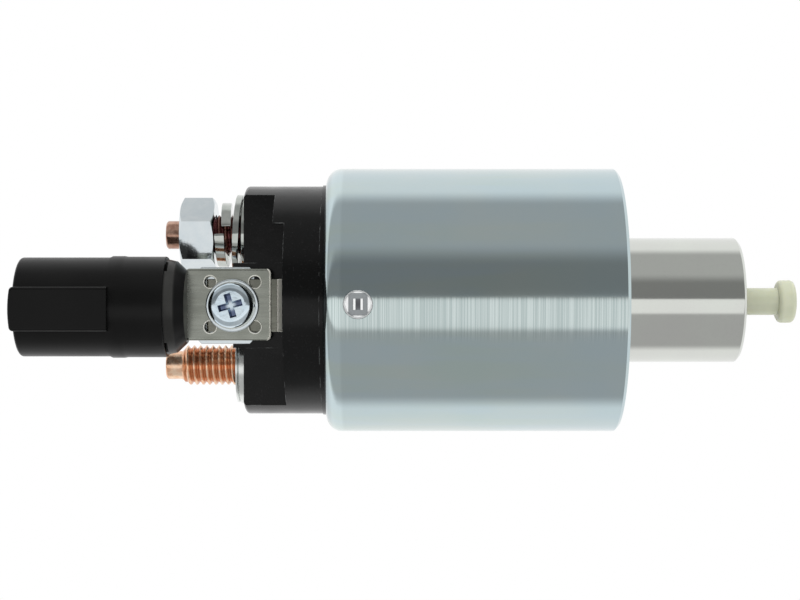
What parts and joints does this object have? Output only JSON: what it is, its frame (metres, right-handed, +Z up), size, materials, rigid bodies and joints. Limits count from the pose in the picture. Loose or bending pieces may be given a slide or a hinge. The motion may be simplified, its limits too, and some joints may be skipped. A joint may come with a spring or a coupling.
{
  "type": "starter solenoid",
  "caption": "Round starter solenoid: steel can, sliding plunger with a lever hook, black terminal cap with copper studs, and a round side connector on a screwed plate.",
  "frame": {"origin": "centre of the case's flat mounting face, on the plunger axis", "axes": "+X along the plunger axis towards the lever hook, +Z up through the battery stud, the side connector on the -Y side"},
  "size_m": [0.1517, 0.0522, 0.0522],
  "materials": {
    "zinc_case": "bluish clear zinc plate with fine turning lines",
    "zinc_hardware": "bright zinc plate",
    "ground_steel": "ground and nickel plated",
    "core_iron": "machined soft iron",
    "spring_steel": "oiled spring wire",
    "tinned_strip": "dull tin plate",
    "copper": "bright copper",
    "enamelled_wire": "enamelled copper wire",
    "brass_sleeve": "drawn brass",
    "black_phenolic": "glossy black moulding",
    "black_nylon": "satin black moulding",
    "ivory_nylon": "natural ivory moulding",
    "bobbin_nylon": "natural moulding",
    "seal_rubber": "black rubber"
  },
  "bodies": {
    "root": {"case_shell": "zinc_case", "guide_sleeve": "brass_sleeve", "coil_washer": "spring_steel", "coil_bobbin": "bobbin_nylon", "pull_in_winding": "enamelled_wire", "hold_in_winding": "enamelled_wire", "switch_lead": "enamelled_wire", "motor_lead": "enamelled_wire", "fixed_core": "core_iron", "return_spring": "spring_steel", "rod_return_spring": "spring_steel", "cap_gasket": "seal_rubber", "terminal_cap": "black_phenolic", "battery_stud": "copper", "motor_stud": "copper", "battery_stud_seal": "seal_rubber", "motor_stud_seal": "seal_rubber", "battery_stud_ring": "zinc_hardware", "battery_flat_washer": "zinc_hardware", "battery_lock_washer": "zinc_hardware", "battery_nut": "zinc_hardware", "motor_stud_washer": "zinc_hardware", "switch_terminal": "tinned_strip", "terminal_nut": "tinned_strip", "connector_terminal": "tinned_strip", "terminal_screw": "zinc_hardware", "terminal_screw_washer": "zinc_hardware", "terminal_lock_washer": "zinc_hardware", "connector_housing": "black_nylon"},
    "plunger": {"plunger": "ground_steel", "hook_retainer": "ground_steel", "engagement_spring": "spring_steel"},
    "hook": {"plunger_hook": "ivory_nylon"},
    "contact_rod": {"contact_rod": "core_iron", "rod_clip": "spring_steel", "contact_spring": "spring_steel"},
    "contact_disc": {"moving_contact": "copper", "contact_insulator_front": "bobbin_nylon", "contact_insulator_rear": "bobbin_nylon"}
  },
  "joints": [
    {"name": "plunger_slide", "type": "slide", "parent": "root", "child": "plunger", "axis": [-1, 0, 0], "range_m": [0, 0.0105], "stiffness_N_per_m": 2000, "springref_m": -0.02, "deforming": ["return_spring"]},
    {"name": "hook_slide", "type": "slide", "parent": "plunger", "child": "hook", "axis": [1, 0, 0], "range_m": [0, 0.005], "stiffness_N_per_m": 6000, "springref_m": -0.012, "deforming": ["engagement_spring"]},
    {"name": "contact_rod_slide", "type": "slide", "parent": "root", "child": "contact_rod", "axis": [-1, 0, 0], "range_m": [0, 0.00315], "deforming": ["rod_return_spring"]},
    {"name": "contact_disc_slide", "type": "slide", "parent": "contact_rod", "child": "contact_disc", "axis": [1, 0, 0], "range_m": [0, 0.000945], "deforming": ["contact_spring"]}
  ],
  "couplings": [
    {"joint": "contact_rod_slide", "follows": "plunger_slide", "ratio": 0.3},
    {"joint": "contact_disc_slide", "follows": "plunger_slide", "ratio": 0.09}
  ]
}
